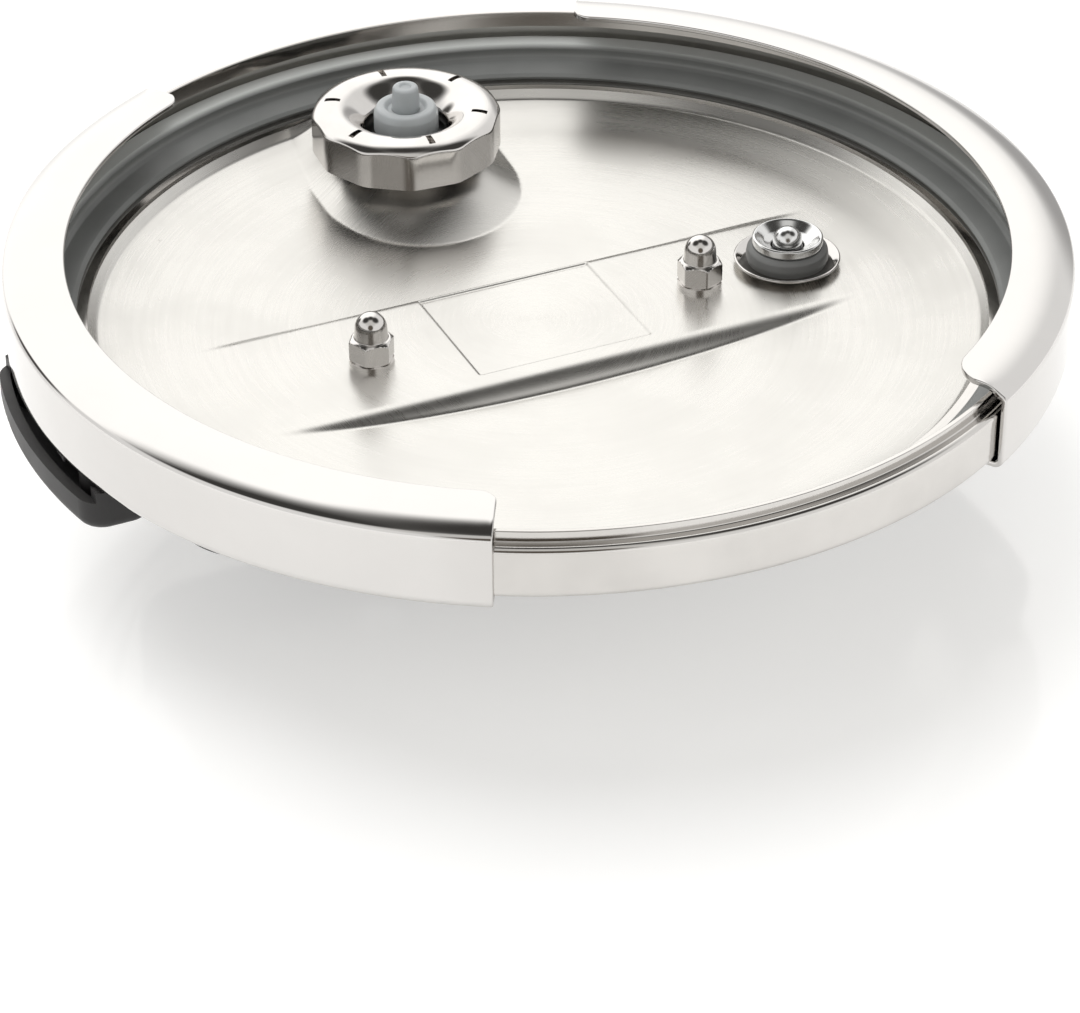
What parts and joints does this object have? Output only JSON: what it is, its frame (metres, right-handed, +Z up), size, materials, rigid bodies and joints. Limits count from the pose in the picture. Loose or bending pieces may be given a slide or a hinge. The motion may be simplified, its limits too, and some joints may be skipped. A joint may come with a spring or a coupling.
{
  "type": "pressure cooker lid",
  "caption": "Stainless pressure cooker lid, underside up, with sliding clamp jaws worked by a turn knob, a capped pressure valve, a safety valve and a lip gasket.",
  "frame": {"origin": "centre of the flat knob face that the upturned lid stands on", "axes": "+Z up, out of the lid's underside; +X from the left jaw to the right jaw, along the pressed bar towards the safety valve; +Y towards the pressure valve"},
  "size_m": [0.2452, 0.237, 0.0696],
  "materials": {
    "lid_steel": "satin, spin-brushed inside",
    "jaw_steel": "polished",
    "polished_steel": "polished",
    "plain_steel": "plain",
    "turned_metal": "turned",
    "seal_silicone": "satin",
    "grommet_silicone": "satin",
    "clear_silicone": "milky, slightly see-through",
    "black_plastic": "fine satin"
  },
  "bodies": {
    "lid": {"lid_body": "lid_steel", "gasket": "seal_silicone", "acorn_nuts": "polished_steel", "nut_washers": "polished_steel", "seal_washers": "seal_silicone", "stud_spacers": "plain_steel", "stud_bolts": "plain_steel", "guide_sleeves": "plain_steel", "safety_ring": "polished_steel", "safety_grommet": "grommet_silicone", "safety_core": "turned_metal", "safety_spring": "plain_steel", "valve_cap": "polished_steel", "cap_washer": "grommet_silicone", "valve_body": "turned_metal", "valve_seal": "grommet_silicone", "valve_core": "clear_silicone", "valve_peg": "clear_silicone", "steam_spring": "plain_steel", "bridge_plate": "plain_steel", "axle": "plain_steel", "axle_clip": "plain_steel", "housing": "black_plastic", "guide_rails": "black_plastic"},
    "knob": {"knob_body": "black_plastic", "knob_plate": "polished_steel", "cam_disc": "plain_steel", "cam_screws": "plain_steel"},
    "jaw_right": {"jaw_right": "jaw_steel", "arm_right": "plain_steel", "cam_pin_right": "plain_steel", "jaw_rivets_right": "plain_steel", "grip_right": "black_plastic", "grip_screws_right": "plain_steel"},
    "jaw_left": {"jaw_left": "jaw_steel", "arm_left": "plain_steel", "cam_pin_left": "plain_steel", "jaw_rivets_left": "plain_steel", "grip_left": "black_plastic", "grip_screws_left": "plain_steel"},
    "selector": {"selector_knob": "black_plastic"},
    "plunger": {"steam_plunger": "turned_metal"},
    "pressure_pin": {"safety_pin": "turned_metal"}
  },
  "joints": [
    {"name": "knob_turn", "type": "hinge", "parent": "lid", "child": "knob", "pos_m": [0, 0, 0], "axis": [0, 0, 1], "range_deg": [0, 90]},
    {"name": "jaw_right_slide", "type": "slide", "parent": "lid", "child": "jaw_right", "axis": [1, 0, 0], "range_m": [0, 0.01405]},
    {"name": "jaw_left_slide", "type": "slide", "parent": "lid", "child": "jaw_left", "axis": [-1, 0, 0], "range_m": [0, 0.01405]},
    {"name": "selector_turn", "type": "hinge", "parent": "lid", "child": "selector", "pos_m": [0, 0.077, 0.03], "axis": [0, 0, 1], "range_deg": [0, 120]},
    {"name": "plunger_lift", "type": "slide", "parent": "lid", "child": "plunger", "axis": [0, 0, -1], "range_m": [0, 0.0012], "stiffness_N_per_m": 300, "springref_m": -0.002, "deforming": ["steam_spring"]},
    {"name": "pressure_pin_lift", "type": "slide", "parent": "lid", "child": "pressure_pin", "axis": [0, 0, -1], "range_m": [0, 0.0016], "stiffness_N_per_m": 100, "springref_m": -0.002, "deforming": ["safety_spring"]}
  ],
  "couplings": [
    {"joint": "jaw_right_slide", "follows": "knob_turn", "m_per_rad": 0.0089127},
    {"joint": "jaw_left_slide", "follows": "knob_turn", "m_per_rad": 0.0089127}
  ]
}
